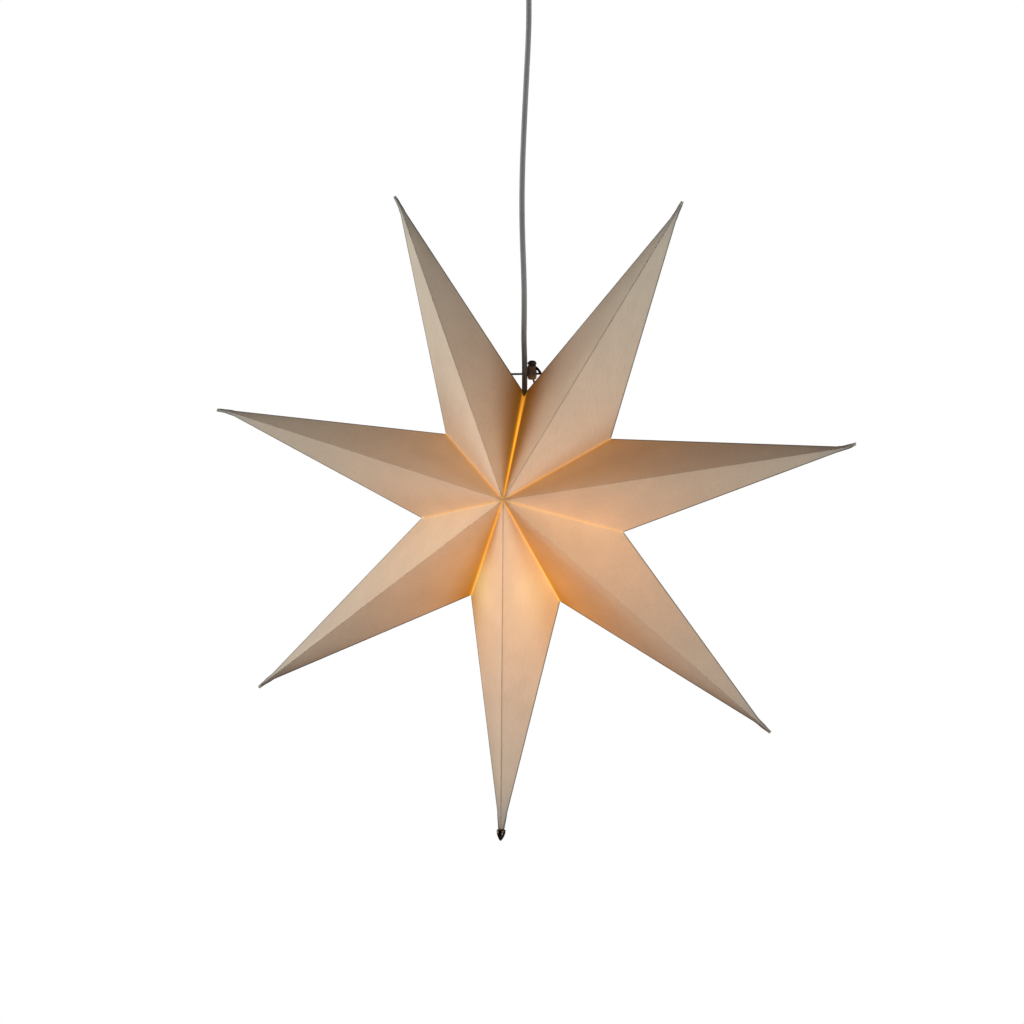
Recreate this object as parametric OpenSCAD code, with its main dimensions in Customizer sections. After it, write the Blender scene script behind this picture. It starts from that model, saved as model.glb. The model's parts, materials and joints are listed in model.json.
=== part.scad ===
/* [Star shade] */
// Radius of the star from its centre to the end of a paper tip
tip_r = 310; // [220:5:450]
// Radius of the notches between the arms
notch_r = 99; // [80:1:130]
// Half the depth of the star, from its middle plane to an apex
apex_y = 79; // [60:1:110]
// Thickness of the folded paper
paper = 0.5; // [0.3:0.1:1]
// Width of the glue flange inside each seam
flange_w = 8; // [5:0.5:10]
// Open gap between the first and the last arm, in degrees
top_gap = 1.4; // [1:0.1:3]
// Roll of the star, clockwise as seen from the front, in degrees
roll = 3.7; // [0:0.1:8]
// Lean of the open gap towards the last arm, in degrees
gap_lean = 2.5; // [0:0.5:4]
// Length of the pinched tail at each tip
tail_len = 18; // [12:1:24]

/* [Hanging] */
// Height from the ceiling down to the centre of the star
drop = 550; // [480:10:1200]
// Diameter of the lamp cord
cord_d = 5.2; // [4.5:0.1:6.5]
// Diameter of the ceiling cup
cup_d = 100; // [90:1:130]
// Height of the ceiling cup
cup_h = 58; // [50:1:70]
// Spacing of the two ceiling screws
screw_spacing = 68; // [55:1:72]
// Radius of the screw holes in the bracket
screw_hole_r = 2.2; // [1.8:0.1:2.6]

/* [Lamp] */
// Diameter of the lampholder body
holder_d = 28; // [26:0.5:29]
// Diameter of the bulb's glass globe
globe_d = 45; // [35:1:48]
// Diameter of the bulb's screw cap
bulb_cap_d = 13.8; // [13:0.1:14]

/* [Tie] */
// Diameter of the tie string
string_d = 1.8; // [1:0.1:2]
// Diameter of the cord-lock barrel
barrel_d = 8.8; // [8:0.1:9]

/* [Hidden] */
$fn = 48;

// Places. The origin is on the ceiling, over the cord. The star's front looks along -Y.
star_z = -drop;
lamp_x = -4;             // the cord's lower end settles a little to one side
star_x = -6;             // and the star's centre a little further
gap = 0.15;              // paper-thin clearance between pieces that move apart

// Angles round the star, from +X towards +Z.
arms = 7;
pitch = (360 - top_gap) / arms;
first_seam = 90 - roll - top_gap / 2;
tip_lean = [1.2, 0.2, 0, -0.1, -0.7, -0.5, 0.4];      // each glued tip is a little off its place
seam_lean = [gap_lean, 0, 0, -0.9, 0, -0.2, 1.2, gap_lean];     // and so is each seam
notch_out = [1.5, 1.5, 0, 0, 1, -1.5, -3, 1.5];
function seam_angle(i) = first_seam - pitch * i + seam_lean[i];
function tip_angle(i) = first_seam - pitch * (i - 0.5) + tip_lean[i - 1];
function ray(a) = [cos(a), 0, sin(a)];

// One arm: a spike of four facets over the wedge between two seams.
capped = 4;                                    // the lowest arm carries the tip cap
function tip_end(i) = tip_r - (i == capped ? 6 : 0);
function meet_r(i) = tip_r - (i == capped ? -3 : 4);    // where the straight folds would meet
function tail_w(i) = i == capped ? 3 : 1.4;    // half the tail's width at its end
function tail_t(i) = i == capped ? 1.6 : 0.8;  // and half its thickness
seam_len = norm([notch_r, apex_y]);
flange_y = flange_w * seam_len / notch_r;      // the flange, measured along Y
flange_r = flange_w * seam_len / apex_y;       // and along the seam's radius
hollow_end = tail_len + 14;                    // the hollow stops before the tail
apex = [0, -apex_y, 0];
half_pitch_notch = [notch_r * cos(pitch / 2), 0, notch_r * sin(pitch / 2)];
facet = cross(half_pitch_notch - apex, [meet_r(1), 0, 0] - apex);
shell_shift = paper * norm(facet) / abs(facet[0]);      // along the arm, for one paper thickness
seam_shift = gap / sin(pitch / 2);                      // along the arm, to part the seams

// Cord route: x and height over the star's centre, with y = 0.
cord_start = 84;
cord_end = drop - 21;
cord_route = [[-4, cord_start], [-4, 105], [-4, 128], [-4.6, 150], [-4.4, 172], [-4.4, 194],
              [-5, 216], [-5.8, 238], [-6.4, 262], [-6.4, 286], [-5.9, 310], [-5, 334],
              [-4, 356], [-2.9, 378], [-1.8, 400], [-0.7, 422], [0, 444], [0, 468],
              [0, 498], [0, cord_end]];
cord_sides = 10;
rings_per_span = 2;

// Ceiling fitting.
bracket_l = 88;
bracket_w = 18;
bracket_t = 1.5;
cup_wall = 1.6;
cup_neck_r = 12;
bush_r = 8;
bush_h = 16;
cord_clear = 0.3;        // the cup's bush slides on the cord
clamp_z = -26;           // middle of the cord clamp
block_z = -11;           // middle of the terminal block

// Lampholder, measured from the star's centre.
cap_top = 77;
cap_shoulder = 67.5;
holder_top = 60;
holder_bottom = 12;
holder_wall = 1.5;
holder_r = holder_d / 2;
core_bottom = 41;
core_top = 57;
sleeve_bottom = 14;
sleeve_top = 38;
bulb_cap_r = bulb_cap_d / 2;
globe_z = -14;
globe_r = globe_d / 2;
glass_wall = 0.8;

// Tie string and its cord lock, measured from the star's centre.
tie_z = 117.5;
tie_y = 3.8;
tie_left = -24;          // ends inside the last arm
tie_right = 29;          // ends inside the first arm
tie_hole_r = string_d / 2 + 0.5;
toggle_x = 8.2;
barrel_r = barrel_d / 2;
barrel_bottom = 112;
barrel_top = 124.6;
barrel_bore_r = 3.8;
plunger_r = 3.65;
press = 1.8;             // the plunger's travel
slot_r = string_d / 2 + 0.15;

module on_ceiling(z) { translate([0, 0, z]) children(); }
module in_lamp(z = 0) { translate([lamp_x, 0, star_z + z]) children(); }
module in_star() { translate([star_x, 0, star_z]) children(); }
module in_toggle(z = 0) { translate([star_x + toggle_x, tie_y, star_z + z]) children(); }
module along_x(r, x0, x1) {
  translate([x0, 0, 0]) rotate([0, 90, 0]) cylinder(r = r, h = x1 - x0);
}

// ---------- ceiling fitting ----------
module ceiling_bracket() {
  color("#B9BBBD") difference() {
    union() {
      on_ceiling(-bracket_t) translate([-bracket_l / 2, -bracket_w / 2, 0])
        cube([bracket_l, bracket_w, bracket_t]);
      // leg that carries the terminal block and the cord clamp
      translate([-5, 7.5, -34]) cube([10, bracket_t, 34]);
    }
    for (side = [-1, 1]) on_ceiling(-bracket_t - 1)
      translate([side * screw_spacing / 2, 0, 0]) cylinder(r = screw_hole_r, h = bracket_t + 2);
  }
}

module cord_clamp() {
  color("#ECEAE4") difference() {
    on_ceiling(clamp_z - 4) translate([-8, -4.6, 0]) cube([16, 12.1, 8]);
    on_ceiling(clamp_z - 5) cylinder(d = cord_d, h = 10);
    for (side = [-1, 1]) translate([side * 5.6, -5, clamp_z]) rotate([-90, 0, 0])
      cylinder(r = 1.3, h = 13);
  }
}

module clamp_screws() {
  color("#C8C9CB") for (side = [-1, 1]) translate([side * 5.6, -4.6, clamp_z])
    rotate([-90, 0, 0]) {
      translate([0, 0, -1.6]) difference() {
        cylinder(r = 2.2, h = 1.6);
        translate([-2.5, -0.3, -0.01]) cube([5, 0.6, 0.6]);
      }
      cylinder(r = 1.25, h = 11);
    }
}

module terminal_block() {
  color("#F1EFE9") difference() {
    on_ceiling(block_z - 5) translate([-9, -5.5, 0]) cube([18, 13, 11]);
    for (side = [-1, 1]) {
      translate([side * 4.5, 0, block_z - 6]) cylinder(r = 1.6, h = 13);
      translate([side * 4.5, -6, block_z]) rotate([-90, 0, 0]) cylinder(r = 1.6, h = 6);
    }
  }
}

module terminal_screws() {
  color("#C9A24B") for (side = [-1, 1]) translate([side * 4.5, -5.3, block_z])
    rotate([-90, 0, 0]) difference() {
      cylinder(r = 1.5, h = 3.2);
      translate([-2, -0.25, -0.01]) cube([4, 0.5, 0.6]);
    }
}

module cord_cores() {
  colors = ["#6B4A2E", "#3C5F8E"];
  for (k = [0, 1]) color(colors[k]) {
    side = k * 2 - 1;
    hull() {
      translate([side * 1.1, 0, star_z + cord_end]) cylinder(r = 0.9, h = 1, $fn = 24);
      translate([side * 4.5, 0, block_z - 7]) cylinder(r = 0.9, h = 1, $fn = 24);
    }
    translate([side * 4.5, 0, block_z - 6.5]) cylinder(r = 0.9, h = 10, $fn = 24);
  }
}

module ceiling_cup() {
  inner = cup_d / 2 - cup_wall;
  color("#F4F3EF") on_ceiling(-cup_h) rotate_extrude($fn = 96) polygon(concat(
    [[bush_r + 0.1, 0], [cup_neck_r, 0]],
    [for (t = [0:15:90]) [cup_neck_r + (cup_d / 2 - cup_neck_r) * sin(t),
                          (cup_h - 12) * (1 - cos(t))]],
    [[cup_d / 2, cup_h - 0.3], [inner, cup_h - 0.3]],
    [for (t = [90:-15:0]) [cup_neck_r + (inner - cup_neck_r) * sin(t),
                           cup_wall + (cup_h - 12 - cup_wall) * (1 - cos(t))]],
    [[bush_r + 0.1, cup_wall]]));
}

module cup_bush() {
  color("#E9E8E3") difference() {
    union() {
      on_ceiling(-cup_h - bush_h + 4) cylinder(r = bush_r, h = bush_h);
      on_ceiling(-cup_h + cup_wall + 0.05) cylinder(r = bush_r + 2.5, h = 2);
      on_ceiling(-cup_h - 2.05) cylinder(r = bush_r + 2.5, h = 2);
    }
    on_ceiling(-cup_h - bush_h) cylinder(r = cord_d / 2 + cord_clear, h = 2 * bush_h);
    on_ceiling(-cup_h - 7.5) along_x(1.6, 0, bush_r + 1);
  }
}

module grip_screw() {
  color("#DCDAD3") on_ceiling(-cup_h - 7.5) {
    along_x(1.5, cord_d / 2 + cord_clear, bush_r + 0.4);
    difference() {
      along_x(2.6, bush_r + 0.4, bush_r + 3.4);
      translate([bush_r + 2.6, -3, -0.4]) cube([2, 6, 0.8]);
    }
  }
}

// ---------- cord ----------
function spline(a, b, c, d, t) =
  0.5 * (2 * b + (c - a) * t + (2 * a - 5 * b + 4 * c - d) * t * t
         + (3 * b - a - 3 * c + d) * t * t * t);
function route_point(i) = cord_route[min(max(i, 0), len(cord_route) - 1)];
function cord_centres() = concat(
  [for (i = [0:len(cord_route) - 2], k = [0:rings_per_span - 1])
    spline(route_point(i - 1), route_point(i), route_point(i + 1), route_point(i + 2),
           k / rings_per_span)],
  [route_point(len(cord_route) - 1)]);

module cord() {
  centres = cord_centres();
  rings = len(centres);
  points = [for (c = centres, s = [0:cord_sides - 1])
    [c[0] + cord_d / 2 * cos(360 * s / cord_sides),
     cord_d / 2 * sin(360 * s / cord_sides), star_z + c[1]]];
  sides = [for (r = [0:rings - 2], s = [0:cord_sides - 1]) let (n = (s + 1) % cord_sides)
    [r * cord_sides + s, (r + 1) * cord_sides + s, (r + 1) * cord_sides + n,
     r * cord_sides + n]];
  bottom = [[for (s = [0:cord_sides - 1]) s]];
  top = [[for (s = [cord_sides - 1:-1:0]) (rings - 1) * cord_sides + s]];
  color("#6A6A6A") polyhedron(points, concat(sides, bottom, top), convexity = 4);
}

// ---------- lampholder ----------
module cord_grip() {
  color("#3A3836") in_lamp() rotate_extrude() polygon([
    [0, 74], [5, 74], [5, 79], [4.2, 80], [3.6, cord_start + 4], [cord_d / 2 + 0.05, cord_start + 4],
    [cord_d / 2 + 0.05, cord_start], [0, cord_start]]);
}

module holder_cap() {
  color("#E7E5DF") in_lamp() rotate_extrude() polygon([
    [5.1, cap_top], [7, cap_top], [holder_r + 0.4, cap_shoulder], [holder_r + 0.4, holder_top],
    [holder_r - 1.1, holder_top], [holder_r - 1.1, cap_shoulder - 0.8], [5.1, cap_top - 2]]);
}

module holder_body() {
  color("#E7E5DF") in_lamp() rotate_extrude() polygon([
    [holder_r, holder_bottom], [holder_r, holder_top - 0.1], [holder_r - holder_wall, holder_top - 0.1],
    [holder_r - holder_wall, holder_bottom + holder_wall], [9, holder_bottom + holder_wall],
    [9, holder_bottom]]);
}

module contact_block() {
  color("#F2F0EA") in_lamp(core_bottom) difference() {
    cylinder(r = holder_r - holder_wall - 0.1, h = core_top - core_bottom);
    for (side = [-1, 1]) translate([side * 8, 0, -1]) cylinder(r = 1.5, h = 20);
  }
}

module thread_sleeve() {
  color("#C9B26A") in_lamp() difference() {
    union() {
      translate([0, 0, sleeve_bottom]) cylinder(r = bulb_cap_r + 0.75, h = sleeve_top - sleeve_bottom);
      for (z = [sleeve_bottom + 4:4:sleeve_top - 3]) translate([0, 0, z])
        cylinder(r = bulb_cap_r + 1.05, h = 1.6);
    }
    translate([0, 0, sleeve_bottom - 1]) cylinder(r = bulb_cap_r + 0.15, h = 40);
  }
}

module centre_contact() {
  color("#C9A24B") in_lamp(core_bottom - 0.9) translate([-6, -1.5, 0]) cube([8, 3, 0.8]);
}

module side_contact() {
  color("#C9A24B") in_lamp(sleeve_top - 6) translate([bulb_cap_r + 1.2, -2, 0])
    cube([0.8, 4, core_bottom - sleeve_top + 5.9]);
}

module holder_screws() {
  color("#C8C9CB") for (side = [-1, 1]) in_lamp() translate([side * 8, 0, 0]) {
    translate([0, 0, core_top + 0.05]) difference() {
      cylinder(r = 2.3, h = 1.8);
      translate([-3, -0.3, 1.2]) cube([6, 0.6, 1]);
    }
    translate([0, 0, core_bottom + 1]) cylinder(r = 1.4, h = core_top - core_bottom - 0.9);
  }
}

// ---------- bulb ----------
module bulb_cap() {
  thread = 0.3;
  color("#C6C7C4") in_lamp() rotate_extrude() polygon(concat(
    [[bulb_cap_r - 0.5, 15]],
    [[bulb_cap_r, 15]],
    [for (z = [17:1:34]) [bulb_cap_r - (z % 2) * thread, z]],
    [[5, 36], [5, 35.4], [bulb_cap_r - 0.9, 33.6]]));
}

module bulb_insulator() {
  color("#2B2B2D") in_lamp() rotate_extrude() polygon([
    [0, 36.05], [5, 36.05], [3, 38.6], [0, 38.6]]);
}

module bulb_contact() {
  color("#BFC0BE") in_lamp(38.65) cylinder(r1 = 2.6, r2 = 1.8, h = 1);
}

module bulb_glass() {
  neck = bulb_cap_r - 1.1;
  blend = 34;            // angle from the globe's top where the neck starts
  color("#F6EBD2") in_lamp() rotate_extrude($fn = 64) polygon(concat(
    [for (t = [-90:10:90 - blend]) [globe_r * cos(t), globe_z + globe_r * sin(t)]],
    [[9.6, 9.5], [neck, 14], [neck, 30], [neck - glass_wall, 30], [neck - glass_wall, 14],
     [8.6, 9]],
    [for (t = [90 - blend:-10:-90])
      [(globe_r - glass_wall) * cos(t), globe_z + (globe_r - glass_wall) * sin(t)]]));
}

module bulb_stem() {
  color("#E8EDEE") in_lamp() rotate_extrude() polygon([
    [0, 28], [4.4, 28], [4.4, 20], [2, 10], [1.6, -2], [0, -3]]);
}

module bulb_filament() {
  color("#FFB347") for (k = [0:3]) in_lamp(-26) rotate([0, 0, 90 * k + 45])
    translate([7.5, 0, 0]) rotate([0, -12, 0]) cylinder(r = 0.8, h = 30, $fn = 16);
}

// ---------- paper arms ----------
// Corners of an arm, in the order that its faces use:
//   0-3 front apex, back apex, first notch, second notch   4-7 where the tail starts
//   8-11 end of the tail                                   12-15 rim of the flanges, outside
//   16-19 rim of the flanges, inside                       20-23 corners of the hollow
//   24-27 far end of the hollow                            28 its last point
function arm_corners(i) =
  let (a = seam_angle(i - 1), b = seam_angle(i), way = ray(tip_angle(i)),
       middle = ray((a + b) / 2), half = (a - b) / 2,
       front = [0, -apex_y, 0], back = [0, apex_y, 0],
       notch_a = (notch_r + notch_out[i - 1]) * ray(a),
       notch_b = (notch_r + notch_out[i]) * ray(b),
       inward_a = ray(a - 90), inward_b = ray(b + 90),
       inner_y = apex_y - flange_y, inner_r = notch_r - flange_r,
       fold = paper / sin(half) * middle,
       meet = meet_r(i) * way, hollow_meet = meet - shell_shift * way,
       base = [front, back, notch_a, notch_b],
       hollow_base = concat(
         [for (p = [front, back]) hollow_meet + (p - meet)
           * (paper / sin(half) - hollow_meet * middle) / ((p - meet) * middle)],
         [for (e = [[notch_a, inward_a], [notch_b, inward_b]]) hollow_meet + (e[0] - meet)
           * (paper - hollow_meet * e[1]) / ((e[0] - meet) * e[1])]))
  concat(
    base,
    [for (p = base) section(meet, p, way, tip_end(i) - tail_len)],
    [for (p = [[0, -tail_t(i), 0], [0, tail_t(i), 0], tail_w(i) * ray(tip_angle(i) + 90),
               tail_w(i) * ray(tip_angle(i) - 90)]) tip_end(i) * way + p],
    [[0, -inner_y, 0], [0, inner_y, 0], inner_r * ray(a), inner_r * ray(b)],
    [fold - [0, inner_y, 0], fold + [0, inner_y, 0],
     inner_r * ray(a) + paper * inward_a, inner_r * ray(b) + paper * inward_b],
    hollow_base,
    [for (p = hollow_base) section(hollow_meet, p, way, tip_end(i) - hollow_end)],
    [(tip_end(i) - hollow_end + 12) * way]);

// Where the fold from "meet" to "base" is at distance r from the centre, along "way".
function section(meet, base, way, r) =
  meet + (base - meet) * (meet * way - r) / (meet * way - base * way);

arm_quads = [
  [0, 2, 6, 4], [2, 1, 5, 6], [1, 3, 7, 5], [3, 0, 4, 7],
  [4, 6, 10, 8], [6, 5, 9, 10], [5, 7, 11, 9], [7, 4, 8, 11], [8, 10, 9, 11],
  [0, 12, 14, 2], [13, 1, 2, 14], [0, 3, 15, 12], [3, 1, 13, 15],
  [14, 12, 16, 18], [13, 14, 18, 17], [12, 15, 19, 16], [15, 13, 17, 19],
  [18, 16, 20, 22], [17, 18, 22, 21], [16, 19, 23, 20], [19, 17, 21, 23],
  [22, 20, 24, 26], [21, 22, 26, 25], [20, 23, 27, 24], [23, 21, 25, 27]];
arm_faces = concat(
  [for (q = arm_quads, half = [[0, 1, 2], [0, 2, 3]]) [for (k = half) q[k]]],
  [[26, 24, 28], [25, 26, 28], [24, 27, 28], [27, 25, 28]]);

// The hole that the cord and its grip pass, where the first and last arms meet.
module cord_way() {
  translate([lamp_x - star_x, 0, 0]) {
    translate([0, 0, 60]) cylinder(r = 5.4, h = cord_start + 5 - 60);
    translate([0, 0, 80]) cylinder(r = cord_d / 2 + 0.6, h = 60);
  }
}

module tie_way() { translate([0, tie_y, tie_z]) along_x(tie_hole_r, tie_left - 4, tie_right + 4); }

module arm(i) {
  color("#EFE2CC") in_star() translate(seam_shift * ray(tip_angle(i))) difference() {
    polyhedron(arm_corners(i), arm_faces, convexity = 4);
    if (i == 1 || i == arms) {
      cord_way();
      tie_way();
    }
  }
}

module tip_cap() {
  color("#5A4636") in_star() rotate([0, -tip_angle(capped), 0])
    translate([tip_end(capped) + 0.4, 0, 0])
    rotate([0, 90, 0]) rotate_extrude() polygon([
      [0, 0], [3.6, 0], [4.2, 0.6], [4.2, 1.6], [4, 3.2], [3.5, 5], [2.7, 7], [1.6, 9],
      [0.7, 10.2], [0, 10.4]]);
}

// ---------- tie ----------
module tie_string() {
  color("#3C2C29") in_star() translate([0, tie_y, tie_z]) {
    along_x(string_d / 2, tie_left, tie_right, $fn = 24);
    translate([tie_left, 0, 0]) sphere(r = string_d * 1.1, $fn = 24);
    translate([tie_right, 0, 0]) sphere(r = string_d * 1.1, $fn = 24);
  }
}

module toggle_barrel() {
  color("#574A42") in_toggle() difference() {
    rotate_extrude() polygon([
      [0, barrel_bottom], [2.6, barrel_bottom], [3.8, barrel_bottom + 0.8],
      [barrel_r, barrel_bottom + 2.2], [barrel_r, barrel_top - 0.8], [barrel_r - 0.3, barrel_top],
      [barrel_bore_r, barrel_top], [barrel_bore_r, barrel_bottom + 2.2], [0, barrel_bottom + 2.2]]);
    translate([0, 0, tie_z]) along_x(string_d / 2 + 0.3, -6, 6);
  }
}

module toggle_plunger() {
  color("#2E2723") in_toggle() difference() {
    rotate_extrude() polygon([
      [0, 116.2], [plunger_r, 116.2], [plunger_r, barrel_top + press + 0.1],
      [4.2, barrel_top + press + 0.1], [4.3, barrel_top + press + 0.7], [3.6, 128.6],
      [2.2, 129.6], [0, 129.9]]);
    // slot that lets the string pass while the plunger is pressed
    for (z = [tie_z, tie_z + press + 0.3]) translate([0, 0, z]) along_x(slot_r, -6, 6);
    translate([-6, -slot_r, tie_z]) cube([12, 2 * slot_r, press + 0.3]);
  }
}

module toggle_spring() {
  color("#B7B9BA") for (z = [114.5:0.62:116]) in_toggle(z) rotate_extrude($fn = 32)
    translate([2.2, 0]) circle(r = 0.25, $fn = 16);
}

module string_tail() {
  color("#3C2C29") in_toggle() hull() {
    translate([1.2, 1.5, barrel_bottom - 1]) sphere(r = string_d / 2, $fn = 10);
    translate([3, 3.5, barrel_bottom - 6]) sphere(r = string_d / 2, $fn = 10);
  }
}

ceiling_bracket();
cord_clamp();
clamp_screws();
terminal_block();
terminal_screws();
cord_cores();
ceiling_cup();
cup_bush();
grip_screw();
cord();
cord_grip();
holder_cap();
holder_body();
contact_block();
thread_sleeve();
centre_contact();
side_contact();
holder_screws();
bulb_cap();
bulb_insulator();
bulb_contact();
bulb_glass();
bulb_stem();
bulb_filament();
arm(1);  // arm_1
arm(2);  // arm_2
arm(3);  // arm_3
arm(4);  // arm_4
arm(5);  // arm_5
arm(6);  // arm_6
arm(7);  // arm_7
tip_cap();
tie_string();
toggle_barrel();
toggle_plunger();
toggle_spring();
string_tail();
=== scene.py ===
"""Folded paper star lantern on its lamp cord: the looks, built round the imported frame.

Lengths are in metres and angles in degrees. The star's front looks along -Y.
"""
import json
import math

import bpy
import numpy as np
from mathutils import Matrix, Vector, noise


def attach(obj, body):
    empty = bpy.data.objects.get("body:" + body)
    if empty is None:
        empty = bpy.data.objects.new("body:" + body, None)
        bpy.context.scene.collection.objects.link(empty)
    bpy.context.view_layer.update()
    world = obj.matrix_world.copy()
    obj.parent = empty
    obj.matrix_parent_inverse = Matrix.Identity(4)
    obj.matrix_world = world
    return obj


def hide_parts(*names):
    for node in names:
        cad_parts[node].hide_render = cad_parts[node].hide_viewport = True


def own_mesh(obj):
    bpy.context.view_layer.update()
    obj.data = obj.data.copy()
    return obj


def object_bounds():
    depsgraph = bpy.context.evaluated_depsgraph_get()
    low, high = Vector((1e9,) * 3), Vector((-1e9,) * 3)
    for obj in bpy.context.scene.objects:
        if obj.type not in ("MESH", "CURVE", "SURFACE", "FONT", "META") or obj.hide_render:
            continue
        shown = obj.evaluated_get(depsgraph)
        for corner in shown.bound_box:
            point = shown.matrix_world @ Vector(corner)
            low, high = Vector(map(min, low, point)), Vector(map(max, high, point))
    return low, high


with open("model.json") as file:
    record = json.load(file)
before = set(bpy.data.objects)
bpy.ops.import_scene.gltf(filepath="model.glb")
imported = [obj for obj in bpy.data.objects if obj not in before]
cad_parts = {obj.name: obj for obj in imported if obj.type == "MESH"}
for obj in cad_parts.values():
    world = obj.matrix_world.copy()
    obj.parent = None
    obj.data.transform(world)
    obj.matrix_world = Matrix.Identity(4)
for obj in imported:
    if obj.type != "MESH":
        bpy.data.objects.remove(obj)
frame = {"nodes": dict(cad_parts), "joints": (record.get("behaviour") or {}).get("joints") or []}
cad_box = [list(corner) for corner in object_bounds()]
JOINTS = {j["name"]: j for j in frame["joints"]}
STAR = Vector(JOINTS["fold_3"]["pos_m"])        # centre of the star
LAMP = Vector(JOINTS["shade_turn"]["pos_m"])    # on the lamp's own axis, at the star's height

# Driving dimensions of the star, as in the CAD source. Arms and seams count clockwise from the
# open gap at the top, and seam i follows arm i.
MM = 0.001
ARMS = 7
TIP_R = 310 * MM
NOTCH_R = 99 * MM
APEX_Y = 79 * MM         # from the centre to the front apex, and to the back one
ROLL = 3.7               # the star hangs turned this far clockwise
TOP_GAP = 1.4            # the open gap between the last arm and the first
GAP_LEAN = 2.5           # the gap lies this far anticlockwise of its even place
# How far each tip and seam is turned from its even place, and each notch moved out, in mm.
TIP_LEAN = [1.2, 0.2, 0, -0.1, -0.7, -0.5, 0.4]
SEAM_LEAN = [GAP_LEAN, 0, 0, -0.9, 0, -0.2, 1.2, GAP_LEAN]
NOTCH_OUT = [1.5, 1.5, 0, 0, 1, -1.5, -3, 1.5]
TAIL_LEN = 18 * MM
CAPPED = 4               # the lowest arm carries the tip cap
FLANGE_W = 8 * MM
PAPER = 0.5 * MM
CORD_D = 5.2 * MM
TIE_Y = 3.8 * MM         # the string lies this far behind the cord's axis
TIE_Z = 117.5 * MM       # and this far above the star's centre

PITCH = (360 - TOP_GAP) / ARMS
FIRST_SEAM = 90 - ROLL - TOP_GAP / 2
SEAM_CLEAR = 0.15 * MM / math.sin(math.radians(PITCH / 2))      # keeps neighbouring arms apart


def seam_angle(i):
    """Angle of the seam after arm i, from +X towards +Z. Seam 0 is the first arm's at the gap."""
    return FIRST_SEAM - PITCH * i + SEAM_LEAN[i]


def tip_angle(i):
    return FIRST_SEAM - PITCH * (i - 0.5) + TIP_LEAN[i - 1]


def tip_end(i):
    return TIP_R - (6 * MM if i == CAPPED else 0)


def meet_r(i):
    """Where the arm's straight folds would meet."""
    return TIP_R + (3 if i == CAPPED else -4) * MM


def ray(angle):
    """Unit vector at an angle in the star's plane."""
    return Vector((math.cos(math.radians(angle)), 0, math.sin(math.radians(angle))))


def notch_point(seam):
    return ray(seam_angle(seam)) * (NOTCH_R + NOTCH_OUT[seam] * MM)


# ---------- camera ----------
CAMERA_YAW = 12.7        # round to the star's right
CAMERA_PITCH = -0.6
CAMERA_DISTANCE = 2.258
CAMERA_LENS = 86
AIM_LEFT, AIM_DOWN = 9.7 * MM, 10.2 * MM     # from the star's centre


def make_camera():
    yaw, pitch = math.radians(CAMERA_YAW), math.radians(CAMERA_PITCH)
    back = Vector((math.sin(yaw) * math.cos(pitch), -math.cos(yaw) * math.cos(pitch),
                   math.sin(pitch)))
    right = Vector((math.cos(yaw), math.sin(yaw), 0))
    aim = STAR - right * AIM_LEFT - Vector((0, 0, AIM_DOWN))
    data = bpy.data.cameras.new("camera")
    data.lens = CAMERA_LENS
    data.sensor_width = 36
    camera = link("camera", data)
    camera.location = STAR + back * CAMERA_DISTANCE
    camera.rotation_mode = "QUATERNION"
    camera.rotation_quaternion = (aim - camera.location).to_track_quat("-Z", "Y")
    bpy.context.scene.camera = camera


# ---------- helpers ----------
def link(name, data):
    thing = bpy.data.objects.new(name, data)
    bpy.context.scene.collection.objects.link(thing)
    return thing


def mesh_piece(name, points, faces):
    mesh = bpy.data.meshes.new(name)
    mesh.from_pydata([tuple(p) for p in points], [], faces)
    mesh.validate()
    mesh.polygons.foreach_set("use_smooth", [True] * len(mesh.polygons))
    mesh.update()
    return link(name, mesh)


def hold(piece, body, slot, material, *nodes):
    """Puts a piece on its body, with its material and the CAD nodes it stands for. The slot is not
    used.
    """
    piece.data.materials.append(material)
    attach(piece, body)
    if nodes:
        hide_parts(*nodes)


def finish_node(name, material, edge=0.15 * MM):
    """Gives a CAD node that keeps its shape its material, and takes the sharpness off its edges."""
    node = frame["nodes"][name]
    node.data.materials.clear()
    node.data.materials.append(material)
    bevel = node.modifiers.new("soft_edges", "BEVEL")
    bevel.width = edge
    bevel.segments = 2
    bevel.limit_method = "ANGLE"
    bevel.angle_limit = math.radians(35)


def lathe(name, profile, place, segments=64, turn=None, closed=False, shape=None):
    """Turns (radius, height) points, in mm, round the Z axis at place.

    A radius of 0 closes the end, and closed joins the last point to the first. turn tilts the
    piece, and shape(radius, height, angle) may change the radius, for a thread or flutes.
    """
    points, faces, rows = [], [], []
    for radius, height in profile:
        if radius < 1e-3:
            rows.append([len(points)])
            points.append(Vector((0, 0, height * MM)))
            continue
        rows.append(list(range(len(points), len(points) + segments)))
        for k in range(segments):
            a = 2 * math.pi * k / segments
            r = (shape(radius, height, a) if shape else radius) * MM
            points.append(Vector((r * math.cos(a), r * math.sin(a), height * MM)))
    for low, high in list(zip(rows, rows[1:])) + ([(rows[-1], rows[0])] if closed else []):
        for k in range(segments):
            n = (k + 1) % segments
            if len(low) == 1:
                faces.append((low[0], high[n], high[k]))
            elif len(high) == 1:
                faces.append((low[k], low[n], high[0]))
            else:
                faces.append((low[k], low[n], high[n], high[k]))
    if turn is not None:
        points = [turn @ p for p in points]
    return mesh_piece(name, [p + place for p in points], faces)


def thread(pitch, depth, low, high):
    """A shape for lathe(): a round-bottomed screw thread between two heights."""
    def shape(radius, height, angle):
        if not low <= height <= high:
            return radius
        ease = min(1, (height - low) / pitch, (high - height) / pitch)
        turn = height / pitch - angle / (2 * math.pi)
        return radius - depth * ease * (0.5 - 0.5 * math.cos(2 * math.pi * turn))
    return shape


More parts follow.
